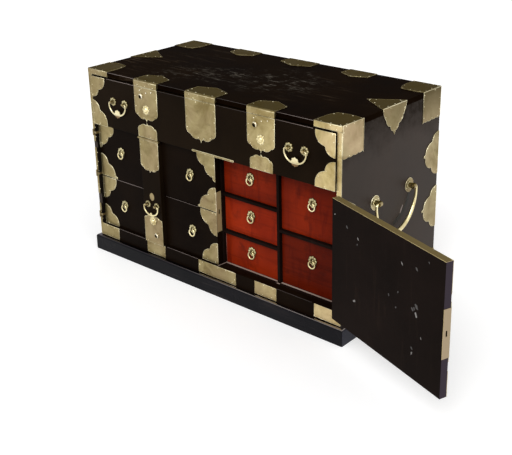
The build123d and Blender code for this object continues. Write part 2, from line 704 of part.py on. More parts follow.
for name, origin, x_dir, (posts, half_w, drop), (r, belly_r, eye_width), flower_r in bails:
    hang = Plane(origin=origin, x_dir=x_dir, z_dir=Vector(x_dir).cross(Vector(0, 0, 1)))
    reach = posts / 2 + eye_width / 2 + 1
    shoulder_r = half_w - reach
    deep = drop - shoulder_r
    u, v = cos(radians(bail_corner_turn)), sin(radians(bail_corner_turn))
    corner_bend = (deep * u - half_w * (1 - v)) / (u + v - 1)
    low_bend = (half_w * v - deep * (1 - u)) / (u + v - 1)
    with BuildPart() as bail:
        with BuildLine(hang) as pin:
            straight = Line((posts / 2 - eye_width / 2 - 3, 0), (reach, 0))
            shoulder = JernArc(straight @ 1, (1, 0), shoulder_r, -90)
        with BuildSketch(Plane(origin=pin.wire() @ 0, z_dir=pin.wire() % 0)):
            Circle(r)
        sweep()
        with BuildLine(hang) as belly:
            corner = JernArc(shoulder @ 1, shoulder % 1, corner_bend, -bail_corner_turn)
            JernArc(corner @ 1, corner % 1, low_bend, bail_corner_turn - 90)
        for t in (i / 8 for i in range(9)):
            with BuildSketch(Plane(origin=belly.wire() @ t, z_dir=belly.wire() % t)):
                Circle(r + (belly_r - r) * sin(t * pi / 2))
        loft()
        mirror(about=Plane(origin=hang.origin, z_dir=hang.x_dir))
        if flower_r:
            low = hang.from_local_coords((0, ornament_up - drop, 0))
            with BuildSketch(Plane(origin=low, x_dir=hang.x_dir, z_dir=hang.z_dir)):
                rosette(flower_r)
            extrude(amount=ornament_t / 2, both=True)
    finish(bail, name)

# === small drawers =========================================================================
column_left = (partition_x1, upright_x - divider_t / 2)
column_right = (upright_x + divider_t / 2, inner_x)
low, high = left_rails_z
bays = (
    (column_left, high + divider_t / 2, shelf_z),
    (column_left, low + divider_t / 2, high - divider_t / 2),
    (column_left, floor_z, low - divider_t / 2),
    (column_right, right_rail_z + divider_t / 2, shelf_z),
    (column_right, floor_z, right_rail_z - divider_t / 2),
)
small_face_y = shelf_y0 + small_recess
for i, ((x0, x1), z0, z1) in enumerate(bays, start=1):
    x0, x1 = x0 + small_gap, x1 - small_gap
    y1 = back_face_y - small_back_gap
    z0, z1 = z0 + run_gap, z1 - small_gap
    with BuildPart() as drawer:
        block(x0, x1, small_face_y, y1, z0, z1)
        block(x0 + small_wall, x1 - small_wall, small_face_y + small_front_t,
              y1 - small_wall, z0 + small_bottom_t, z1, mode=Mode.SUBTRACT)
        fillet(drawer.faces().sort_by(Axis.Y)[0].edges(), radius=edge_break)
    finish(drawer, f"inner_drawer_{i}")

    pull = shifted(front_plane(small_face_y), (x0 + x1) / 2, z0 + pull_level * (z1 - z0))
    with BuildPart() as post:
        with BuildSketch(pull):
            rosette(rosette_r)
        extrude(amount=rosette_t)
        with BuildSketch(eye_plane(pull, 0, 0, eye_out, eye_w)):
            eye(eye_out, eye_r, ring_r + eye_clear)
        extrude(amount=eye_w)
    finish(post, f"inner_drawer_post_{i}")

    with BuildPart(pull) as ring:
        with Locations((0, -ring_major, eye_out)):
            Torus(ring_major, ring_r)
    finish(ring, f"inner_drawer_ring_{i}")
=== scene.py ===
"""Looks of the two-tier lacquered chest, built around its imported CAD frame."""
import json
import math
import random

import bmesh
import bpy
from mathutils import Matrix, Vector

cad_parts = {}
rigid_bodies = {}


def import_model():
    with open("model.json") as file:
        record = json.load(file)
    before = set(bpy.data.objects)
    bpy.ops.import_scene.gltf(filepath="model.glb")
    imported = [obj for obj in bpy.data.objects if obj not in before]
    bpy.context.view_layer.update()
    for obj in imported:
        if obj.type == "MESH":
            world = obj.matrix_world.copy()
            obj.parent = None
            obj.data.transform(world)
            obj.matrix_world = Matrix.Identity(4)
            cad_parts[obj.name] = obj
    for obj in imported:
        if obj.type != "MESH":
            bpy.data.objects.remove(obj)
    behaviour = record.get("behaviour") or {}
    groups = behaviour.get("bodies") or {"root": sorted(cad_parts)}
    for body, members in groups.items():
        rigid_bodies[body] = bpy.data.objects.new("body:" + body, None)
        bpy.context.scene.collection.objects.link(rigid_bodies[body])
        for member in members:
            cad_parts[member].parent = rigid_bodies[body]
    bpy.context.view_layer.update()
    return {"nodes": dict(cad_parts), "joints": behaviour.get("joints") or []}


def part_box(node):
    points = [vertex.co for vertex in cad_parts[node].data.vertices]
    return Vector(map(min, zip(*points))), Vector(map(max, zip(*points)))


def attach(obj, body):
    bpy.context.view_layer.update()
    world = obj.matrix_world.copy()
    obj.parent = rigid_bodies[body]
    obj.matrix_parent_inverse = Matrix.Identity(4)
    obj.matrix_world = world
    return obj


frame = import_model()
nodes = frame["nodes"]
joints = {j["name"]: j for j in frame["joints"]}
rng = random.Random(11)

MM = 0.001
FRONT = Vector((0, -1, 0))
SIDE = Vector((1, 0, 0))
UP = Vector((0, 0, 1))
# The open right door: where its outer face looks, and the way from its hinge to its free edge.
DOOR_SWING = math.radians(160.8)
OPEN_OUT = Vector((math.sin(DOOR_SWING), -math.cos(DOOR_SWING), 0))
OPEN_ALONG = Vector((-math.cos(DOOR_SWING), -math.sin(DOOR_SWING), 0))


# --- node helpers --------------------------------------------------------------------------------
class Nodes:
    """A node tree, with one short call for each kind of node."""

    def __init__(self, tree):
        self.tree = tree

    def new(self, kind):
        return self.tree.nodes.new(kind)

    def link(self, a, b):
        self.tree.links.new(a, b)

    def put(self, socket, value):
        """Link a value's socket to a socket, or set a plain value."""
        if isinstance(value, bpy.types.NodeSocket):
            self.link(value, socket)
        else:
            socket.default_value = value

    def span(self, value, low, high, to_low=0.0, to_high=1.0):
        """A value between low and high, moved to between to_low and to_high and held there."""
        node = self.new("ShaderNodeMapRange")
        self.put(node.inputs["Value"], value)
        for key, v in (("From Min", low), ("From Max", high), ("To Min", to_low), ("To Max", to_high)):
            node.inputs[key].default_value = v
        return node.outputs["Result"]

    def math(self, op, a, b=0.0):
        node = self.new("ShaderNodeMath")
        node.operation = op
        self.put(node.inputs[0], a)
        self.put(node.inputs[1], b)
        return node.outputs[0]

    def times(self, a, b):
        return self.math("MULTIPLY", a, b)

    def plus(self, a, b):
        return self.math("ADD", a, b)

    def dimmed(self, value, mask, left=0.0):
        """A value, with only a share of it left where the mask is 1."""
        return self.times(value, self.span(mask, 0.0, 1.0, 1.0, left))


class Shader(Nodes):
    """A principled material with patterns in object coordinates."""

    def __init__(self, name):
        self.mat = bpy.data.materials.new(name)
        self.mat.use_nodes = True
        super().__init__(self.mat.node_tree)
        self.tree.nodes.clear()
        out = self.new("ShaderNodeOutputMaterial")
        self.bsdf = self.new("ShaderNodeBsdfPrincipled")
        self.link(self.bsdf.outputs[0], out.inputs[0])
        source = self.new("ShaderNodeTexCoord")
        self.coord, self.normal = source.outputs["Object"], source.outputs["Normal"]

    def stretch(self, scale):
        node = self.new("ShaderNodeMapping")
        self.link(self.coord, node.inputs["Vector"])
        node.inputs["Scale"].default_value = scale
        return node.outputs[0]

    def noise(self, scale, detail=4.0, rough=0.55, vector=None, distortion=0.0):
        node = self.new("ShaderNodeTexNoise")
        self.link(vector or self.coord, node.inputs["Vector"])
        node.inputs["Scale"].default_value = scale
        node.inputs["Detail"].default_value = detail
        node.inputs["Roughness"].default_value = rough
        node.inputs["Distortion"].default_value = distortion
        return node.outputs["Fac"]

    def blend(self, factor, a, b):
        node = self.new("ShaderNodeMix")
        node.data_type = "RGBA"
        self.put(node.inputs["Factor"], factor)
        self.put(node.inputs["A"], a if isinstance(a, bpy.types.NodeSocket) else (*a, 1.0))
        self.put(node.inputs["B"], b if isinstance(b, bpy.types.NodeSocket) else (*b, 1.0))
        return node.outputs["Result"]

    def vector_math(self, op, vector, key, value):
        node = self.new("ShaderNodeVectorMath")
        node.operation = op
        self.link(vector, node.inputs[0])
        self.put(node.inputs[key], value)
        return node

    def place(self, axis):
        """Position on one axis."""
        split = self.new("ShaderNodeSeparateXYZ")
        self.link(self.coord, split.inputs[0])
        return split.outputs[axis]

    def facing(self, direction, low=0.6, high=0.9):
        """1 on faces that look in a direction, 0 on the others."""
        along = self.vector_math("DOT_PRODUCT", self.normal, 1, direction).outputs["Value"]
        return self.span(along, low, high)

    def within(self, axis, low, high, soft=0.0004):
        """1 between two positions on an axis, 0 outside."""
        at = self.place(axis)
        return self.times(self.span(at, low - soft, low), self.span(at, high, high + soft, 1.0, 0.0))

    def near(self, middle, reach):
        """1 at a point, falling to 0 at a distance."""
        away = self.vector_math("DISTANCE", self.coord, 1, middle).outputs["Value"]
        return self.span(away, 0.25 * reach, reach, 1.0, 0.0)

    def bump(self, height, strength, distance):
        node = self.new("ShaderNodeBump")
        self.put(node.inputs["Height"], height)
        node.inputs["Strength"].default_value = strength
        node.inputs["Distance"].default_value = distance
        self.link(node.outputs[0], self.bsdf.inputs["Normal"])

    def surface(self, color, rough, metallic=0.0, specular=0.5):
        self.put(self.bsdf.inputs["Base Color"], color)
        self.put(self.bsdf.inputs["Roughness"], rough)
        self.put(self.bsdf.inputs["Metallic"], metallic)
        self.put(self.bsdf.inputs["Specular IOR Level"], specular)
        return self.mat


# --- materials -----------------------------------------------------------------------------------
SCUFF = (0.11, 0.075, 0.05)
SCRATCH = (0.17, 0.15, 0.12)
# Painted shade for the side boards' inner faces, seen in the gap beside the closed door.
INSIDE_SHADE = (0.0035, 0.0024, 0.0016)
# Painted reflection on the plinth's polished ledge: dim at the left, bright at the right.
LEDGE_REFLECTION_LEFT, LEDGE_REFLECTION_RIGHT = (0.06, 0.052, 0.06), (0.34, 0.30, 0.29)
BAIL_LOW_TONE = (0.14, 0.07, 0.025)
ROSY, GREENISH = (0.30, 0.215, 0.135), (0.13, 0.105, 0.035)
# Tones painted on upward brass faces: painted shade for the dim reflection from above; lighter on the open
# door.
OLIVE, OLIVE_LIGHT = (0.050, 0.034, 0.006), (0.15, 0.112, 0.045)
# Painted shade, near black, for the gap beside the closed door, laid on the brass and rims there.
RECESS_SHADE = (0.006, 0.004, 0.003)
RECESS_X, RECESS_Z = (-0.4425, -0.4340), (0.086, 0.400)  # the dark gap beside the closed door


def lacquer(name, deep, pale, specular, rough, scuff=0.0, scuff_color=SCUFF, along=(6, 60, 60), edge=None,
            darker_above=None, inside_shade_reach=None, ledge_polish_reflection=False, scratched=()):
    """Old lacquer: cloudy colour, rubbed streaks along one direction, faint brush marks.

    edge gives a direction and the tone of faces that look there, a painted sheen of the light on them;
    darker_above gives two heights between which a board turns to a darker tone; inside_shade_reach is the
    distance from the chest's middle within which a side board is painted near black as shade;
    ledge_polish_reflection makes upward faces metallic with a painted reflection, dim at the left and
    bright at the right; scratched lists a middle, a reach and an amount for each scratched place.
    """
    s = Shader(name)
    cloud = s.noise(5.0, 6.0, 0.6)
    color = s.blend(s.span(cloud, 0.35, 0.7), deep, pale)
    streak = s.noise(1.0, 7.0, 0.7, s.stretch(along), 0.6)
    patch = s.noise(2.6, 3.0, 0.5)
    rubbed = s.times(s.span(streak, 0.56, 0.72), s.span(patch, 0.42, 0.62))
    color = s.blend(s.times(rubbed, scuff), color, scuff_color)
    for middle, reach, amount in scratched:
        lines = s.span(s.noise(1.0, 6.0, 0.75, s.stretch((22, 160, 160)), 0.4), 0.52, 0.66)
        marks = s.times(lines, s.span(s.noise(34.0, 4.0, 0.6), 0.46, 0.6))
        color = s.blend(s.times(marks, s.times(s.near(middle, reach), amount)), color, SCRATCH)
    if edge:
        direction, tone = edge
        color = s.blend(s.facing(direction, 0.7, 0.92), color, tone)
    # Darker above a height, with less sheen there.
    if darker_above:
        low, high, tone = darker_above
        height = s.plus(s.place("Z"), s.span(s.noise(9.0, 6.0, 0.65), 0.3, 0.7, -0.03, 0.03))
        mottle = s.span(s.noise(30.0, 5.0, 0.7), 0.35, 0.6, 1.0, 0.55)
        above_darkening = s.times(s.span(height, low, high), mottle)
        color = s.blend(above_darkening, color, tone)
        specular = s.dimmed(specular, above_darkening, 0.1)
    roughness = s.plus(s.span(cloud, 0.3, 0.75, rough, rough + 0.14), s.times(rubbed, 0.2 * scuff))
    # Painted shade: inboard of its inner face a side board turns near black.
    if inside_shade_reach:
        from_middle = s.math("ABSOLUTE", s.place("X"))
        inside = s.span(from_middle, inside_shade_reach - 0.2 * MM, inside_shade_reach + 0.2 * MM, 1.0, 0.0)
        color = s.blend(inside, color, INSIDE_SHADE)
    metallic = 0.0
    # Upward faces turn metallic and take a painted reflection, dim at the left and bright at the right.
    if ledge_polish_reflection:
        metallic = s.facing(UP, 0.7, 0.9)
        color = s.blend(metallic, color, s.blend(s.span(s.place("X"), -0.15, 0.12), LEDGE_REFLECTION_LEFT, LEDGE_REFLECTION_RIGHT))
        roughness = s.dimmed(roughness, metallic, 0.5)
    fine = s.noise(260.0, 3.0, 0.6)
    s.bump(s.plus(s.times(fine, 0.25), s.noise(22.0, 3.0)), 0.12, 0.6 * MM)
    return s.surface(color, roughness, metallic, specular)


def brass(name, bright, dull, tint_and_top_shade=None, rough=0.38, dark_rear=False, side_shade=None, recess=False,
          dark_below=None):
    """Hand-cut sheet brass, mottled and pitted; tint_and_top_shade adds rosy and green tints,
    brighter brass to the right, and a dark top, a painted shade for the dim reflection of upward faces.

    dark_rear darkens the upper rear of the chest's sides; side_shade gives a direction and the painted,
    duller tone of faces that look there, for their dimmer reflection; recess lays painted shade, near
    black, on the gap beside the closed door; dark_below is the height under which a drawer bail's low
    curve is darker.
    """
    s = Shader(name)
    mottle = s.noise(16.0, 7.0, 0.65, distortion=0.8)
    color = s.blend(s.span(mottle, 0.34, 0.68), bright, dull)
    stain = s.span(s.noise(70.0, 4.0, 0.7), 0.58, 0.75)
    color = s.blend(s.times(stain, 0.45), color, [0.35 * c for c in dull])
    metallic = 1.0
    if dark_below:
        low = s.within("Z", dark_below - 30 * MM, dark_below, 2 * MM)
        color = s.blend(s.times(low, 0.9), color, BAIL_LOW_TONE)
    if tint_and_top_shade:
        rosy = s.span(s.noise(7.0, 4.0, 0.6), 0.46, 0.66)
        color = s.blend(s.times(rosy, 0.4), color, ROSY)
        green = s.span(s.noise(11.0, 6.0, 0.7, distortion=1.2), 0.57, 0.72)
        color = s.blend(s.times(green, 0.35), color, GREENISH)
        right_gain = s.span(s.place("X"), 0.1, 0.46, 1.0, 1.9)
        color = s.vector_math("SCALE", color, "Scale", right_gain).outputs[0]
        if dark_rear:
            rear = s.times(s.span(s.place("Y"), -0.15, 0.12), s.span(s.place("Z"), 0.44, 0.56))
            color = s.blend(rear, color, [1.6 * c for c in tint_and_top_shade])
        # Painted shade: upward faces take the dark tone and lose their metal, for the dim reflection from
        # above.
        top_facing_shade = s.facing(UP)
        color = s.blend(top_facing_shade, color, tint_and_top_shade)
        metallic = s.dimmed(metallic, top_facing_shade)
    if side_shade:
        direction, tone = side_shade
        # Painted duller tone on faces that look sideways, for their dimmer reflection.
        side_shaded = s.facing(direction, 0.8, 0.95)
        color = s.blend(side_shaded, color, tone)
        metallic = s.dimmed(metallic, side_shaded)
    if recess:
        # Painted shade in the gap beside the closed door.
        hollow = s.times(s.within("X", *RECESS_X), s.within("Z", *RECESS_Z))
        color = s.blend(hollow, color, RECESS_SHADE)
        metallic = s.dimmed(metallic, hollow)
    pits = s.noise(420.0, 2.0, 0.5)
    s.bump(s.plus(s.times(pits, 0.3), s.noise(45.0, 4.0)), 0.18, 0.5 * MM)
    roughness = s.span(s.plus(mottle, s.times(stain, 0.3)), 0.3, 0.9, rough - 0.05, rough + 0.2)
    return s.surface(color, roughness, metallic, specular=0.004)


def bare_wood(name, light, dark, along):
    """Unpainted board with grain along one direction."""
    s = Shader(name)
    ring = s.noise(1.0, 8.0, 0.7, s.stretch(along), 1.2)
    color = s.blend(s.span(ring, 0.35, 0.68), light, dark)
    color = s.blend(s.times(s.span(s.noise(3.0), 0.5, 0.7), 0.4), color, [0.5 * c for c in dark])
    s.bump(ring, 0.2, 0.6 * MM)
    return s.surface(color, s.span(ring, 0.3, 0.7, 0.6, 0.78), specular=0.3)


def red_lacquer(name, tone):
    """Transparent red lacquer over grain, in clouds and bands; tone paints light and shade on a drawer."""
    s = Shader(name)

    def shade(r, g, b):
        return (r * tone, g * tone, b * tone)

    grain = s.noise(1.0, 8.0, 0.65, s.stretch((5, 40, 55)), 0.8)
    glow = s.noise(6.0, 3.0, 0.5)
    spots = s.noise(24.0, 5.0)
    bands = s.noise(1.0, 4.0, 0.6, s.stretch((30, 6, 5)), 0.5)
    color = s.blend(s.span(glow, 0.35, 0.65), shade(0.145, 0.0095, 0.0018), shade(0.27, 0.021, 0.0036))
    color = s.blend(s.times(s.span(grain, 0.5, 0.72), 0.5), color, shade(0.06, 0.005, 0.002))
    color = s.blend(s.times(s.span(spots, 0.56, 0.74), 0.6), color, shade(0.05, 0.005, 0.002))
    color = s.blend(s.times(s.span(bands, 0.52, 0.7), 0.6), color, shade(0.075, 0.004, 0.002))
    s.bump(grain, 0.08, 0.5 * MM)
    return s.surface(color, s.span(grain, 0.3, 0.7, 0.3, 0.46), specular=0.035)


TOP_SCRATCHES = (((-0.08, -0.04, 0.565), 0.11, 0.8), ((0.09, 0.0, 0.565), 0.15, 1.0),
                 ((-0.2, -0.09, 0.565), 0.10, 0.6))
BLACK_FRONT = lacquer("lacquer_front", (0.0070, 0.0038, 0.0016), (0.0130, 0.0074, 0.0034),
                      specular=0.015, rough=0.3, scuff=0.3, scuff_color=(0.03, 0.022, 0.015))
BLACK_DOOR = lacquer("lacquer_door", (0.0038, 0.0017, 0.0007), (0.0085, 0.0045, 0.0022),
                     specular=0.015, rough=0.3, scuff=0.3, scuff_color=(0.03, 0.022, 0.015))
BLACK_TOP = lacquer("lacquer_top", (0.0032, 0.0013, 0.0004), (0.0085, 0.0043, 0.0018),
                    specular=0.001, rough=0.45, scuff=0.8, scuff_color=(0.10, 0.07, 0.045),
                    scratched=TOP_SCRATCHES)
# Side boards: the paler, purplish tones are a painted sheen of the light on the sides.
BLACK_SIDE_SHEEN = lacquer("lacquer_side_sheen", (0.029, 0.0200, 0.0145), (0.045, 0.0325, 0.0255),
                     specular=0.1, rough=0.42, scuff=0.35, scuff_color=(0.07, 0.055, 0.04), along=(60, 60, 6),
                     darker_above=(0.45, 0.53, (0.010, 0.006, 0.003)), inside_shade_reach=0.4365)
# Plinth: the bluish tone on faces that look to the right is a painted sheen; its ledge takes a painted
# reflection.
BLACK_PLINTH = lacquer("lacquer_plinth", (0.0040, 0.0040, 0.0055), (0.010, 0.0090, 0.0110),
                       specular=0.06, rough=0.2, scuff=0.3, scuff_color=(0.05, 0.038, 0.034),
                       edge=(SIDE, (0.026, 0.026, 0.036)), ledge_polish_reflection=True)
BLACK_INNER = lacquer("lacquer_inner", (0.0060, 0.0030, 0.0020), (0.0125, 0.0072, 0.0058),
                      specular=0.012, rough=0.4, scuff=0.35, scuff_color=(0.035, 0.022, 0.015),
                      along=(60, 60, 8))
# Open door: the purplish tone on its free edge is a painted sheen.
BLACK_OPEN = lacquer("lacquer_open_door", (0.0060, 0.0034, 0.0024), (0.0125, 0.0076, 0.0060),
                     specular=0.012, rough=0.4, scuff=0.35, scuff_color=(0.035, 0.022, 0.015),
                     along=(60, 60, 8), edge=(OPEN_ALONG, (0.044, 0.034, 0.044)))
# Pale arris lines: worn lacquer with a painted highlight where the edges catch the light.
WORN_SHEEN = lacquer("edge_sheen_worn", (0.16, 0.125, 0.11), (0.30, 0.25, 0.23), specular=0.2, rough=0.5)
WORN_SHEEN_FAINT = lacquer("edge_sheen_worn_faint", (0.035, 0.028, 0.024), (0.075, 0.06, 0.055), specular=0.2, rough=0.5)
WORN_SHEEN_PALE = lacquer("edge_sheen_worn_pale", (0.26, 0.18, 0.14), (0.46, 0.36, 0.30), specular=0.2, rough=0.5)
WORN_SHEEN_RED = lacquer("edge_sheen_worn_red", (0.20, 0.055, 0.035), (0.34, 0.12, 0.09), specular=0.1, rough=0.5)
# Dark arc on the side panel: the carrying bail's painted shadow, with rubbing from its swing.
BAIL_SHADOW_SCUFF = lacquer("panel_scuff_and_bail_shadow", (0.020, 0.018, 0.014), (0.034, 0.030, 0.026), specular=0.1, rough=0.4)
# Painted shade: the dark inside of each keyhole, laid on as a disc.
KEYHOLE_SHADE = lacquer("keyhole_shade", (0.002, 0.0016, 0.001), (0.004, 0.003, 0.002), specular=0.0, rough=0.9)
# Dark disc behind each ring: its backplate, darkened as painted shade in the ring's hole.
SHADE_DISC = lacquer("brass_stain", (0.012, 0.010, 0.004), (0.035, 0.028, 0.010), specular=0.3, rough=0.4)
MARK = lacquer("clench_mark", (0.018, 0.016, 0.015), (0.075, 0.067, 0.062), specular=0.3, rough=0.4)
MARK_PALE = lacquer("clench_pale", (0.12, 0.11, 0.10), (0.42, 0.40, 0.38), specular=0.3, rough=0.4)
# Painted light and shade: each drawer lighter where the light falls on it, darker where it is shaded.
RED_LIGHT_SHADE = (1.0, 1.45, 1.05, 0.9, 0.5)
REDS = [red_lacquer(f"lacquer_red_{i}", tone) for i, tone in enumerate(RED_LIGHT_SHADE, start=1)]
WOOD_X = bare_wood("wood_across", (0.24, 0.15, 0.085), (0.12, 0.07, 0.04), along=(4, 50, 50))
WOOD_Y = bare_wood("wood_deep", (0.26, 0.165, 0.09), (0.13, 0.078, 0.042), along=(50, 4, 50))
PLATE_TONES = (0.36, 0.295, 0.145), (0.20, 0.15, 0.058)
RIM_TONES = (0.95, 0.88, 0.62), (0.30, 0.24, 0.11)
PLATE = brass("brass_plate", *PLATE_TONES, OLIVE)
# Case plates and rims carry the painted shade in the gap beside the closed door.
PLATE_CASE = brass("brass_plate_case", *PLATE_TONES, OLIVE, recess=True)
# The door plates' sideways faces take a painted duller tone, for their dimmer reflection.
PLATE_LEFT = brass("brass_plate_left", *PLATE_TONES, OLIVE, side_shade=(SIDE, (0.33, 0.25, 0.12)))
PLATE_RIGHT = brass("brass_plate_right", *PLATE_TONES, OLIVE_LIGHT,
                    side_shade=(OPEN_ALONG, (0.40, 0.31, 0.20)))
PLATE_SIDE = brass("brass_plate_side", (0.185, 0.152, 0.078), (0.11, 0.083, 0.034), OLIVE, dark_rear=True)
PLATE_HINGE = brass("brass_hinge", (0.34, 0.27, 0.14), (0.16, 0.12, 0.055), rough=0.4)
RIM = brass("brass_rim", *RIM_TONES, rough=0.3)
RIM_CASE = brass("brass_rim_case", *RIM_TONES, rough=0.3, recess=True)
# Rims on upward plates are dull: painted shade for their dim reflection from above.
RIM_TOP_SHADE = brass("brass_rim_top_shade", (0.36, 0.30, 0.15), (0.07, 0.05, 0.015), rough=0.5)
PETAL = brass("brass_petal", (0.62, 0.56, 0.33), (0.22, 0.18, 0.08), rough=0.3)
# Dark brass for the ring posts: darkened as painted shade in each ring's hole.
ROSETTE = brass("brass_post_shade", (0.16, 0.125, 0.06), (0.07, 0.052, 0.024), rough=0.4)
PULL = brass("brass_pull", (0.90, 0.80, 0.48), (0.48, 0.38, 0.17), rough=0.26)
# Near-white painted highlight for the keyhole crescents and the nail heads over the keyhole.
GLINT = brass("brass_glint", (0.98, 0.95, 0.84), (0.75, 0.66, 0.44), rough=0.2)
BAIL = brass("brass_bail", (0.92, 0.84, 0.56), (0.50, 0.41, 0.20), rough=0.24, dark_below=0.449)

FINISH = {
    BLACK_FRONT: ["upper_drawer_front", "locking_bar"],
    BLACK_DOOR: ["bottom_rail", "left_door"],
    BLACK_TOP: ["top_board"],
    BLACK_SIDE_SHEEN: ["side_board_left", "side_board_right"],
    BLACK_PLINTH: ["plinth"],
    BLACK_OPEN: ["right_door"],
    BLACK_INNER: ["tier_shelf", "centre_partition", "drawer_upright", "drawer_dividers",
                  "cupboard_shelf", "bottom_board"],
    **{mat: [f"inner_drawer_{i}"] for i, mat in enumerate(REDS, start=1)},
    WOOD_X: ["back_board"],
    WOOD_Y: ["upper_drawer_box"],
    PLATE_SIDE: ["side_mounts_left", "side_mounts_right"],
    PLATE: ["top_mounts", "locking_bar_mounts", "upper_drawer_mounts", "upper_drawer_locks"],
    PLATE_CASE: ["front_mounts"],
    PLATE_LEFT: ["left_door_mounts"],
    PLATE_RIGHT: ["right_door_mounts"],
    BAIL: ["upper_drawer_bail_left", "upper_drawer_bail_right"],
    PLATE_HINGE: ["hinge_knuckles", "left_door_hinges", "right_door_hinges"],
    ROSETTE: ["left_door_ring_posts", "right_door_ring_posts",
              *[f"inner_drawer_post_{i}" for i in range(1, 6)]],
}
painted = {name: mat for mat, names in FINISH.items() for name in names}
for name, node in nodes.items():
    node.data.materials.clear()
    node.data.materials.append(painted.get(name, PULL))
    for face in node.data.polygons:
        face.material_index = 0


# --- mesh helpers --------------------------------------------------------------------------------
def add_mesh(name, bm, mat, body, smooth=True):
    """Turn a bmesh into a piece that rides on a body."""
    mesh = bpy.data.meshes.new(name)
    bm.to_mesh(mesh)
    bm.free()
    for face in mesh.polygons:
        face.use_smooth = smooth
    piece = bpy.data.objects.new(name, mesh)
    bpy.context.scene.collection.objects.link(piece)
    piece.data.materials.append(mat)
    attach(piece, body)


def axes_for(normal):
    """Matrix whose Z is the given normal and whose Y is as upright as it can be."""
    z = normal.normalized()
    x = (UP.cross(z) if abs(z.z) < 0.9 else SIDE).normalized()
    return Matrix((x, z.cross(x), z)).transposed().to_4x4()


def bridge(bm, low, high):
    """Faces between two rings with the same number of vertices."""
    for i in range(len(low)):
        j = (i + 1) % len(low)
        bm.faces.new((low[i], low[j], high[j], high[i]))


def cap(bm, loops):
    """Close both ends of a run of rings."""
    bm.faces.new(list(reversed(loops[0])))
    bm.faces.new(loops[-1])


def dome(bm, at, normal, radius, height, rings=3, steps=10):
    """Low round head standing on a surface."""
    place = Matrix.Translation(at) @ axes_for(normal)
    loops = []
    for k in range(rings):
        t = k / rings * math.pi / 2
        r, h = radius * math.cos(t), height * math.sin(t)
        loops.append([bm.verts.new(place @ Vector((r * math.cos(a), r * math.sin(a), h)))
                      for a in (2 * math.pi * i / steps for i in range(steps))])
    tip = bm.verts.new(place @ Vector((0, 0, height)))
    for low, high in zip(loops, loops[1:]):
        bridge(bm, low, high)
    for i in range(steps):
        bm.faces.new((loops[-1][i], loops[-1][(i + 1) % steps], tip))
    bm.faces.new(list(reversed(loops[0])))


def tube(bm, points, radius, closed=False, sides=6):
    """Round wire through points, with the same radius or one radius for each point."""
    n = len(points)
    radii = radius if isinstance(radius, list) else [radius] * n
    loops = []
    across = None
    for i, p in enumerate(points):
        before = points[i - 1] if (i or closed) else p
        after = points[(i + 1) % n] if (i < n - 1 or closed) else p
        run = (after - before).normalized()
        if across is None:
            across = run.orthogonal().normalized()
        across = (across - run * across.dot(run)).normalized()
        other = run.cross(across)
        loops.append([bm.verts.new(p + radii[i] * (across * math.cos(a) + other * math.sin(a)))
                      for a in (2 * math.pi * k / sides for k in range(sides))])
    for i in range(n if closed else n - 1):
        bridge(bm, loops[i], loops[(i + 1) % n])
    if not closed:
        cap(bm, loops)


def ribbon(bm, points, widths, normal, thick=0.3 * MM):
    """Thin closed strip along points on a surface, with one width for each point."""
    loops = []
    for i, p in enumerate(points):
        run = (points[min(i + 1, len(points) - 1)] - points[max(i - 1, 0)]).normalized()
        across = normal.cross(run) * widths[i] / 2
        corners = (p + across, p - across, p - across - normal * thick, p + across - normal * thick)
        loops.append([bm.verts.new(c) for c in corners])
    for low, high in zip(loops, loops[1:]):
        bridge(bm, low, high)
    cap(bm, loops)
    bmesh.ops.recalc_face_normals(bm, faces=bm.faces)


def at_each_x(xs, y, z):
    """Points at one depth and height."""
    return [Vector((x, y, z)) for x in xs]


# --- sheet-brass trim: raised rims, lit as painted highlights, and nails that follow each plate's outline ---
LEAST_PLATE = 500 * MM * MM
SAME_PLANE = 0.1 * MM
NAIL_SPACING, NAIL_INSET, NAIL_CHANCE = 30 * MM, 4 * MM, 0.75
NAIL_MARGIN = 0.3 * MM
LEAST_NAILED = 90 * MM
RIM_LIFT, RIM_THIN, RIM_GAIN = 0.1, 0.35, 0.6  # mm


def segments(line):
    """Pairs of neighbouring points of a closed line."""
    return zip(line, line[1:] + line[:1])


def plate_outlines(node, normal):
    """Outlines of a node's flat plates that face along normal, and of their holes, as lists of points."""
    bm = bmesh.new()
    bm.from_mesh(nodes[node].data)
    bmesh.ops.remove_doubles(bm, verts=bm.verts, dist=2e-5)
    ordered = [f for f in bm.faces if f.normal.dot(normal) > 0.999]
    facing = set(ordered)
    outlines = []
    for seed in ordered:
        if seed not in facing:
            continue
        facing.remove(seed)
        middle = seed.calc_center_median()
        group, todo = [seed], [seed]
        while todo:
            face = todo.pop()
            for other in (f for edge in face.edges for f in edge.link_faces):
                if other in facing and abs((other.calc_center_median() - middle).dot(normal)) < SAME_PLANE:
                    facing.remove(other)
                    group.append(other)
                    todo.append(other)
        if sum(f.calc_area() for f in group) < LEAST_PLATE:
            continue
        members = set(group)
        rim = {}
        for face in group:
            for loop in face.loops:
                if sum(f in members for f in loop.edge.link_faces) == 1:
                    rim[loop.vert] = loop.link_loop_next.vert
        while rim:
            start, vert = rim.popitem()
            line = [start.co.copy()]
            while vert is not start and vert in rim:
                line.append(vert.co.copy())
                vert = rim.pop(vert)
            if len(line) > 2 and vert is start:
                outlines.append(line)
    bm.free()
    return outlines


def length_of(line):
    return sum((a - b).length for a, b in segments(line))


def walk(line, step):
    """Points about every step along a closed line, with the direction of travel at each."""
    total = length_of(line)
    count = max(3, round(total / step))
    gap = total / count
    found, reach = [], gap / 2
    travelled = 0.0
    for a, b in segments(line):
        run = (b - a).length
        while reach <= travelled + run and len(found) < count:
            found.append((a + (b - a) * ((reach - travelled) / run), (b - a).normalized()))
            reach += gap
        travelled += run
    return found


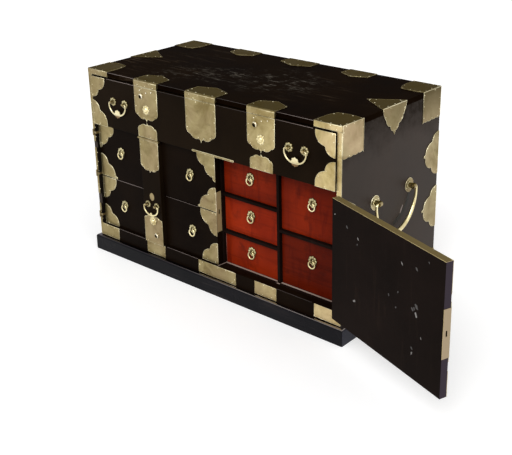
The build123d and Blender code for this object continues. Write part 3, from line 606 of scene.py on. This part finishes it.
def on_plate(spot, size, outlines, normal):
    """Whether a nail head of a size lies wholly on the metal inside the outlines."""
    turns = 0.0
    for line in outlines:
        for a, b in segments(line):
            run = b - a
            share = min(1.0, max(0.0, (spot - a).dot(run) / max(run.length_squared, 1e-12)))
            if (a + run * share - spot).length < size + NAIL_MARGIN:
                return False
            turns += math.atan2(normal.dot((a - spot).cross(b - spot)), (a - spot).dot(b - spot))
    return turns > math.pi


def toward_light(normal):
    """The way in which a plate's rim catches the light, for plates on top, on a side or on a front."""
    if normal.z > 0.5:
        return Vector((0.5, -0.85, 0))
    if abs(normal.x) > 0.9:
        return Vector((0, -0.6, 0.8))
    return Vector((0.6, 0, 0.8))


def trim_plates(node, normal, body, rim=RIM):
    """Rim wires, thickest where the outline turns to the light, and nail heads, for a node's plates."""
    light = toward_light(normal)
    outlines = plate_outlines(node, normal)
    rims, nails = bmesh.new(), bmesh.new()
    for line in outlines:
        inward = [normal.cross((b - a).normalized()) for a, b in segments(line)]
        radii = [(RIM_THIN + RIM_GAIN * max(0.0, -way.dot(light))) * MM for way in inward]
        path = [p + normal * RIM_LIFT * MM + way * r for p, way, r in zip(line, inward, radii)]
        tube(rims, path, radii, closed=True)
    for line in outlines:
        for p, run in walk(line, NAIL_SPACING):
            spot = p + normal.cross(run) * NAIL_INSET * rng.uniform(0.8, 1.2)
            size = rng.uniform(1.1, 1.9) * MM
            kept = rng.random() < NAIL_CHANCE and length_of(line) > LEAST_NAILED
            if kept and on_plate(spot, size, outlines, normal):
                dome(nails, spot, normal, size, 0.6 * size)
    add_mesh(f"rims_{node}_{abs(round(normal.z))}", rims, rim, body)
    add_mesh(f"nails_{node}_{abs(round(normal.z))}", nails, RIM, body)


trim_plates("top_mounts", UP, "case", RIM_TOP_SHADE)
trim_plates("top_mounts", FRONT, "case")
trim_plates("side_mounts_right", SIDE, "case")
trim_plates("side_mounts_left", -SIDE, "case")
trim_plates("front_mounts", FRONT, "case", RIM_CASE)
trim_plates("left_door_mounts", FRONT, "left_door")
trim_plates("right_door_mounts", OPEN_OUT, "right_door")
trim_plates("upper_drawer_mounts", FRONT, "upper_drawer")
trim_plates("upper_drawer_locks", FRONT, "upper_drawer")
trim_plates("locking_bar_mounts", FRONT, "locking_bar")


# --- rosettes behind the pulls -------------------------------------------------------------------
PETALS = 8


def flower(bm, at, normal, radius, height):
    """Petals round a raised centre."""
    turn_to = axes_for(normal)
    for i in range(PETALS):
        a = 2 * math.pi * i / PETALS
        off = turn_to @ Vector((0.66 * radius * math.cos(a), 0.66 * radius * math.sin(a), 0))
        dome(bm, at + off, normal, 0.33 * radius, height)
    dome(bm, at, normal, 0.34 * radius, 1.3 * height)


PLATE_TOP, SEAT = 1.5 * MM, 0.3 * MM
# How far each pull's hinge line stands out of its face, in mm.
RING_OUT, BAIL_OUT, SIDE_OUT = 5.5, 7.5, 14
# Half the distance between a bail's eyes and the radius of the rosette behind each, in mm.
SIDE_EYES, BAR_EYES, DRAWER_EYES = (77, 11), (17.75, 10.5), (24.25, 12.5)
RING_ROSETTE, RING_SHADE_DISC = 14 * MM, 10 * MM
RING_DROP, RING_ASIDE = 9.8 * MM, 1.5 * MM
groups, ring_shades = {}, {}
for name, joint in joints.items():
    if joint["type"] != "hinge" or "door_hinge" in name:
        continue
    body = joint["parent"]
    pos, axis = Vector(joint["pos_m"]), Vector(joint["axis"])
    out = axis.cross(-UP)
    spots = groups.setdefault(body, [])
    if "ring" in name:
        spots.append((pos - out * (RING_OUT * MM - PLATE_TOP + SEAT), out, RING_ROSETTE))
        below = pos - UP * RING_DROP - out * (RING_OUT * MM + SEAT) - axis * RING_ASIDE
        ring_shades.setdefault(body, []).append((below, out))
        continue
    if "side_bail" in name:
        half, radius = SIDE_EYES
        back = SIDE_OUT * MM - 1 * MM + SEAT
    else:
        half, radius = BAR_EYES if "locking" in name else DRAWER_EYES
        back = BAIL_OUT * MM - PLATE_TOP + SEAT
    for k in (-half, half):
        spots.append((pos + axis * k * MM - out * back, out, radius * MM))
for body, spots in groups.items():
    bm = bmesh.new()
    for at, out, radius in spots:
        flower(bm, at, out, radius, 2.4 * MM)
    add_mesh(f"rosettes_{body}", bm, PETAL, body)
# Dark discs in the rings' holes: the backplates with painted shade.
for body, spots in ring_shades.items():
    bm = bmesh.new()
    for at, out in spots:
        dome(bm, at, out, RING_SHADE_DISC, 0.9 * MM, steps=18)
    add_mesh(f"ring_plate_shades_{body}", bm, SHADE_DISC, body)

# --- lock knobs, keyholes painted dark as shade, and the raised crescents round them as painted highlights ---
STATION_X = 0.207
KNOB_PETALS, KNOB_RADIUS, KNOB_HEIGHT, KNOB_SEAT = 13.5 * MM, 8.2 * MM, 7.5 * MM, 2.2 * MM
HOLE_RADIUS, HOLE_OFFSET = 6.5 * MM, Vector((-2, -1, -1)) * MM
CRESCENT_RADIUS, CRESCENT_WIRE, CRESCENT_OUT = 6.4 * MM, 2.4 * MM, 3.3 * MM
CRESCENT_ARC = [math.radians(d) for d in range(-65, 156, 10)]
NAILS_OVER_KEYHOLE = ((-3, 17), (22, 13), (42, 17))


def lock_trim(name, body, locks, nails_over=()):
    """Petalled knobs, keyholes and crescents; locks lists (knob, keyhole) points on a lock's face."""
    crescents, petals, knobs, holes = (bmesh.new() for _ in range(4))
    last = len(CRESCENT_ARC) - 1
    taper = [CRESCENT_WIRE * max(0.15, math.sin(math.pi * i / last)) for i in range(last + 1)]
    for knob, keyhole in locks:
        flower(petals, knob + FRONT * KNOB_SEAT, FRONT, KNOB_PETALS, 1.8 * MM)
        dome(knobs, knob + FRONT * 1.5 * MM, FRONT, KNOB_RADIUS, KNOB_HEIGHT, rings=6, steps=20)
        dome(holes, keyhole + HOLE_OFFSET, FRONT, HOLE_RADIUS, 1.6 * MM, rings=4, steps=16)
        centre = keyhole + FRONT * CRESCENT_OUT
        tube(crescents,
             [centre + CRESCENT_RADIUS * Vector((math.cos(a), 0, math.sin(a))) for a in CRESCENT_ARC], taper)
    add_mesh(name, crescents, GLINT, body)
    add_mesh(f"{name}_petals", petals, PULL, body)
    add_mesh(f"{name}_knobs", knobs, PULL, body)
    if nails_over:
        nails = bmesh.new()
        for _, keyhole in locks:
            for x, z in nails_over:
                dome(nails, keyhole + Vector((x, -1.2, z)) * MM, FRONT, 2.1 * MM, 1.3 * MM)
        add_mesh(f"{name}_nails", nails, GLINT, body)
    add_mesh(f"{name}_keyholes", holes, KEYHOLE_SHADE, body)


drawer_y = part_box("upper_drawer_front")[0][1]
drawer_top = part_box("upper_drawer_front")[1][2]
knob_z, keyhole_z = drawer_top - 61 * MM, drawer_top - 26 * MM
lock_trim("lock_trim_drawer", "upper_drawer",
          [(Vector((x, drawer_y, knob_z)), Vector((x - 19 * MM, drawer_y, keyhole_z)))
           for x in (-STATION_X, STATION_X)], NAILS_OVER_KEYHOLE)
bar_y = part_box("locking_bar")[0][1]
rail_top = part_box("bottom_rail")[1][2]
knob_z, keyhole_z = rail_top + 71 * MM, rail_top + 27 * MM
lock_trim("lock_trim_bar", "locking_bar",
          [(Vector((-STATION_X, bar_y, knob_z)), Vector((-STATION_X + 10 * MM, bar_y, keyhole_z)))])

# --- worn, paler arrises of the lacquered boards, with a painted highlight where they catch the light ---
CORNER_END, STRAP_HALF, CENTRE_HALF, DOOR_EDGE, GROOVE_Z = 0.369, 0.045, 0.054, 0.040, 0.2395
GROOVE_WORN_SHEEN = ((-0.375, -0.255, 0.7), (-0.165, -0.04, 0.4))
front_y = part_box("top_board")[0][1]
lid_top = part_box("top_board")[1][2]
scuffed_sheen, faint = bmesh.new(), bmesh.new()
drawer_scuffed_sheen, drawer_faint = bmesh.new(), bmesh.new()
for side in (-1, 1):
    outer = (side * CORNER_END, side * (STATION_X + STRAP_HALF))
    inner = (side * (STATION_X - STRAP_HALF), side * CENTRE_HALF)
    for ends, lid, drawer in ((outer, scuffed_sheen, drawer_scuffed_sheen), (inner, faint, drawer_faint)):
        tube(lid, at_each_x(ends, front_y - 0.1 * MM, lid_top - 0.9 * MM), 0.6 * MM)
        tube(drawer, at_each_x(ends, drawer_y + 0.4 * MM, drawer_top - 0.4 * MM), 0.6 * MM)
rail_y, rail_z = front_y + 0.3 * MM, rail_top - 0.3 * MM
tube(scuffed_sheen, at_each_x((-CORNER_END, -STATION_X - STRAP_HALF), rail_y, rail_z), 0.5 * MM)
tube(scuffed_sheen, at_each_x((-STATION_X + STRAP_HALF, -DOOR_EDGE), rail_y, rail_z), 0.5 * MM)
tube(faint, at_each_x((0.19, 0.36), rail_y, rail_z), 0.5 * MM)

# Worn pale lines with a painted highlight, laid as flat strips:
# The sill in front of the red drawers, its left end and the foot of the upright.
low_left, low_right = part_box("inner_drawer_3")[0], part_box("inner_drawer_5")[1]
inner_x, inner_y = low_left[0], low_left[1]
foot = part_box("drawer_upright")
sill = bmesh.new()
sill_z = rail_top + 0.25 * MM
ribbon(sill, at_each_x((inner_x, low_right[0]), inner_y - 3.2 * MM, sill_z), [5.5 * MM] * 2, UP)
ribbon(sill, [Vector((inner_x + MM, inner_y - 6 * MM, sill_z)),
              Vector((inner_x - 2 * MM, rail_y + 3 * MM, sill_z))], [2.5 * MM] * 2, UP)
ribbon(sill, at_each_x((foot[0][0] - MM, foot[1][0] + MM), foot[0][1] - 2.4 * MM, sill_z), [4 * MM] * 2, UP)
add_mesh("sill_scuffed_sheen", sill, WORN_SHEEN_PALE, "case", smooth=False)
# Pale red lines on each drawer's top and right edges: worn lacquer with a painted highlight.
for i in range(1, 6):
    (x0, y0, z0), (x1, _, z1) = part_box(f"inner_drawer_{i}")
    arris = bmesh.new()
    corners = (x0 + MM, z1), (x1 - 0.3 * MM, z1 - 0.3 * MM), (x1, z0 + MM)
    tube(arris, [Vector((x, y0, z)) for x, z in corners], 0.55 * MM)
    if i == 3:
        tube(arris, [Vector((x0 + 0.3 * MM, y0, z)) for z in (z0, z1)], 0.7 * MM)
    add_mesh(f"drawer_arris_{i}", arris, WORN_SHEEN_RED, f"inner_drawer_{i}")
# Pale lines along the left door's groove: worn lacquer with a painted highlight.
groove = bmesh.new()
door_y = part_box("left_door")[0][1]
for x0, x1, size in GROOVE_WORN_SHEEN:
    tube(groove, at_each_x((x0, x1), door_y, GROOVE_Z - 1.7 * MM), size * MM)
add_mesh("groove_scuffed_sheen", groove, WORN_SHEEN, "left_door")
add_mesh("lid_scuffed_sheen", scuffed_sheen, WORN_SHEEN, "case")
add_mesh("lid_scuffed_sheen_faint", faint, WORN_SHEEN_FAINT, "case")
add_mesh("drawer_scuffed_sheen", drawer_scuffed_sheen, WORN_SHEEN, "upper_drawer")
add_mesh("drawer_scuffed_sheen_faint", drawer_faint, WORN_SHEEN_FAINT, "upper_drawer")

# --- panel rubbed by the swinging carrying bail, with the bail's painted shadow and a painted highlight ---
# (y, z, width) of each point, in mm
BAIL_SHADOW_SCUFF_LINE = ((77, 313, 8), (73, 296, 13), (64, 280, 12), (50, 266, 13), (30, 255, 14), (8, 247, 10))
SHINE_LINE = ((50, 286, 3), (44, 276, 6), (38, 267, 3))
side_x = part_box("side_board_right")[1][0]
for name, line, lift, mat in (("bail_shadow_scuff", BAIL_SHADOW_SCUFF_LINE, 0.25, BAIL_SHADOW_SCUFF), ("bail_shine", SHINE_LINE, 0.4, WORN_SHEEN)):
    bm = bmesh.new()
    ribbon(bm, [Vector((side_x + lift * MM, y * MM, z * MM)) for y, z, _ in line],
           [width * MM for _, _, width in line], SIDE)
    add_mesh(name, bm, mat, "case", smooth=False)

# --- clenched nail ends on the open door's inner face --------------------------------------------
INNER_DEPTH = 30.3 * MM  # from the hinge line to just off the inner face
# Distance from the hinge, height, length in mm, and whether a bright core shows.
CLENCHED = ((26, 367, 6, 1), (69, 353, 9, 0), (113, 340, 8, 1), (115, 324, 6, 0), (320, 353, 10, 0),
            (272, 346, 9, 1), (361, 383, 6, 0), (265, 273, 6, 0), (232, 253, 7, 0), (320, 260, 8, 0),
            (260, 233, 6, 0), (108, 180, 11, 1), (344, 200, 6, 1), (314, 162, 8, 0), (319, 151, 9, 1),
            (322, 268, 14, 0), (326, 250, 12, 1), (312, 256, 9, 0))
DIM_WIDTHS, CORE_WIDTHS = (0.2, 0.6, 0.5, 0.12), (0.1, 0.36, 0.3, 0.06)
pivot = Vector(joints["right_door_hinge"]["pos_m"])
dim, pale = bmesh.new(), bmesh.new()
for distance, z, length, bright in CLENCHED:
    size = length * MM
    base = pivot + OPEN_ALONG * distance * MM - OPEN_OUT * INNER_DEPTH
    base.z = z * MM
    lean = (OPEN_ALONG * rng.uniform(-0.9, 0.9) - UP * rng.uniform(0.5, 1)).normalized() * size
    bend = (OPEN_ALONG * rng.uniform(-1, 1) + UP * rng.uniform(-1, 1)) * 0.2 * size
    line = [base, base + lean * 0.35 + bend, base + lean * 0.7 - bend, base + lean]
    ribbon(dim, line, [k * size for k in DIM_WIDTHS], -OPEN_OUT)
    if bright:
        ribbon(pale, [p - OPEN_OUT * 0.3 * MM for p in line], [k * size for k in CORE_WIDTHS], -OPEN_OUT)
add_mesh("clenched_nails", dim, MARK, "right_door", smooth=False)
add_mesh("clenched_nails_bright", pale, MARK_PALE, "right_door", smooth=False)

# --- floor, light and camera ---------------------------------------------------------------------
FLOOR_HALF = 40.0
FLOOR_GREY = (0.8, 0.8, 0.8, 1)
FLOOR_SEEN, FLOOR_MIRRORED = 0.38, 0.55  # the floor's own light as seen directly and in reflections
WORLD_LIGHT, WORLD_SEEN = 0.55, 1.0
floor_mesh = bpy.data.meshes.new("floor")
floor_mesh.from_pydata([(x * FLOOR_HALF, y * FLOOR_HALF, 0) for x, y in ((-1, -1), (1, -1), (1, 1), (-1, 1))],
                       [], [(0, 1, 2, 3)])
floor = bpy.data.objects.new("floor", floor_mesh)
bpy.context.scene.collection.objects.link(floor)
floor_mat = bpy.data.materials.new("floor")
floor_mat.use_nodes = True
ground = Nodes(floor_mat.node_tree)
ground.tree.nodes.clear()
seen = ground.new("ShaderNodeLightPath").outputs
lit = ground.new("ShaderNodeBsdfDiffuse")
lit.inputs["Color"].default_value = FLOOR_GREY
glow = ground.new("ShaderNodeEmission")
ground.put(glow.inputs["Strength"], ground.plus(ground.times(seen["Is Camera Ray"], FLOOR_SEEN),
                                                ground.times(seen["Is Glossy Ray"], FLOOR_MIRRORED)))
both = ground.new("ShaderNodeAddShader")
ground.link(lit.outputs[0], both.inputs[0])
ground.link(glow.outputs[0], both.inputs[1])
ground.link(both.outputs[0], ground.new("ShaderNodeOutputMaterial").inputs[0])
floor.data.materials.append(floor_mat)

world = bpy.data.worlds.new("studio")
bpy.context.scene.world = world
world.use_nodes = True
sky = Nodes(world.node_tree)
back = sky.tree.nodes["Background"]
back.inputs["Color"].default_value = (1, 1, 1, 1)
seen = sky.new("ShaderNodeLightPath").outputs
direct = sky.math("MAXIMUM", sky.math("MAXIMUM", seen["Is Camera Ray"], seen["Is Glossy Ray"]),
                  seen["Is Transmission Ray"])
sky.put(back.inputs["Strength"], sky.span(direct, 0.0, 1.0, WORLD_LIGHT, WORLD_SEEN))


def sun(name, toward, strength, angle):
    """Parallel light travelling along a direction."""
    data = bpy.data.lights.new(name, "SUN")
    data.energy = strength
    data.angle = math.radians(angle)
    lamp = bpy.data.objects.new(name, data)
    bpy.context.scene.collection.objects.link(lamp)
    lamp.rotation_euler = Vector(toward).to_track_quat("-Z", "Y").to_euler()


sun("key", toward=(-0.35, 0.75, -0.75), strength=1.3, angle=30)
sun("side_fill", toward=(-0.9, 0.25, -0.6), strength=0.6, angle=40)

CAM_RIGHT = Vector((0.75313, 0.65750, -0.02199))
CAM_UP = Vector((-0.21278, 0.27508, 0.93758))
CAM_PLACE = Vector((1.67111, -1.89083, 1.23846))
camera_data = bpy.data.cameras.new("camera")
camera_data.sensor_width = 36.0
camera_data.lens = 66.977
camera_data.shift_y = -0.12
camera_data.clip_end = 100.0
camera = bpy.data.objects.new("camera", camera_data)
bpy.context.scene.collection.objects.link(camera)
place = Matrix((CAM_RIGHT, CAM_UP, CAM_RIGHT.cross(CAM_UP).normalized())).transposed().to_4x4()
place.translation = CAM_PLACE
camera.matrix_world = place
bpy.context.scene.camera = camera
bpy.context.scene.view_settings.view_transform = "Standard"
